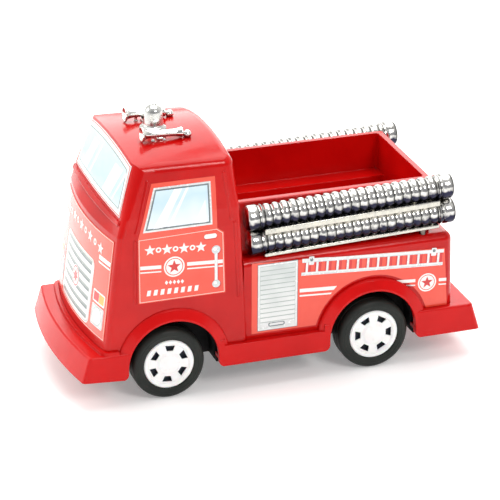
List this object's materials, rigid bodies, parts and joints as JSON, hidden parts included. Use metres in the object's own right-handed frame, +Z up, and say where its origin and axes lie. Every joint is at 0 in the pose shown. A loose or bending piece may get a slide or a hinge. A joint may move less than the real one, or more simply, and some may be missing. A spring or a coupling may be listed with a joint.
{
  "type": "toy fire engine",
  "caption": "Small pull-back toy fire engine with a bowed cab, open hose bed, chrome hose racks and a roof beacon with horns.",
  "frame": {"origin": "under the middle of the model, on the surface that the tyres stand on", "axes": "+Z up, the truck's front faces -Y, its left (driver's) side is +X"},
  "size_m": [0.055, 0.1275, 0.0826],
  "materials": {
    "red_paint": "deep gloss red enamel on a zinc die casting",
    "red_plastic": "gloss red moulded plastic",
    "black_plastic": "fine textured black",
    "zinc_steel": "zinc plated screws",
    "printed_foil": "printed gloss film: coral red with white and silver artwork",
    "chrome_plate": "bright vacuum plating",
    "tyre": "soft charcoal black",
    "white_plastic": "satin white moulding",
    "bright_steel": "bright drawn pin",
    "motor_plastic": "plain moulded black",
    "gear_plastic": "natural acetal",
    "spring_steel": "blued strip"
  },
  "bodies": {
    "truck": {"body_casting": "red_paint", "fender_skirt": "red_plastic", "base_plate": "black_plastic", "base_screws": "zinc_steel", "windshield_foil": "printed_foil", "front_foil": "printed_foil", "door_foil_left": "printed_foil", "door_foil_right": "printed_foil", "side_foil_left": "printed_foil", "side_foil_right": "printed_foil", "roof_beacon_unit": "chrome_plate", "hose_rack_left": "chrome_plate", "hose_rack_right": "chrome_plate", "motor_case_left": "motor_plastic", "motor_case_right": "motor_plastic", "motor_case_screws": "zinc_steel", "motor_foot_screws": "zinc_steel", "compound_pin": "bright_steel", "mainspring": "spring_steel"},
    "front_wheels": {"axle_front": "bright_steel", "tyre_front_left": "tyre", "tyre_front_right": "tyre", "hub_front_left": "white_plastic", "hub_front_right": "white_plastic"},
    "rear_wheels": {"axle_rear": "bright_steel", "tyre_rear_left": "tyre", "tyre_rear_right": "tyre", "hub_rear_left": "white_plastic", "hub_rear_right": "white_plastic", "axle_gear": "gear_plastic"},
    "compound_gear": {"compound_gear": "gear_plastic"},
    "drum_gear": {"drum_gear": "gear_plastic"}
  },
  "joints": [
    {"name": "front_axle_spin", "type": "hinge", "parent": "truck", "child": "front_wheels", "pos_m": [0, -0.0342, 0.011], "axis": [1, 0, 0], "continuous": true},
    {"name": "rear_axle_spin", "type": "hinge", "parent": "truck", "child": "rear_wheels", "pos_m": [0, 0.0298, 0.011], "axis": [1, 0, 0], "continuous": true},
    {"name": "compound_spin", "type": "hinge", "parent": "truck", "child": "compound_gear", "pos_m": [0, 0.02557, 0.02006], "axis": [1, 0, 0], "continuous": true},
    {"name": "drum_spin", "type": "hinge", "parent": "truck", "child": "drum_gear", "pos_m": [0, 0.03591, 0.02189], "axis": [1, 0, 0], "continuous": true}
  ],
  "couplings": [
    {"joint": "compound_spin", "follows": "rear_axle_spin", "ratio": -0.33333},
    {"joint": "drum_spin", "follows": "rear_axle_spin", "ratio": 0.10417}
  ]
}
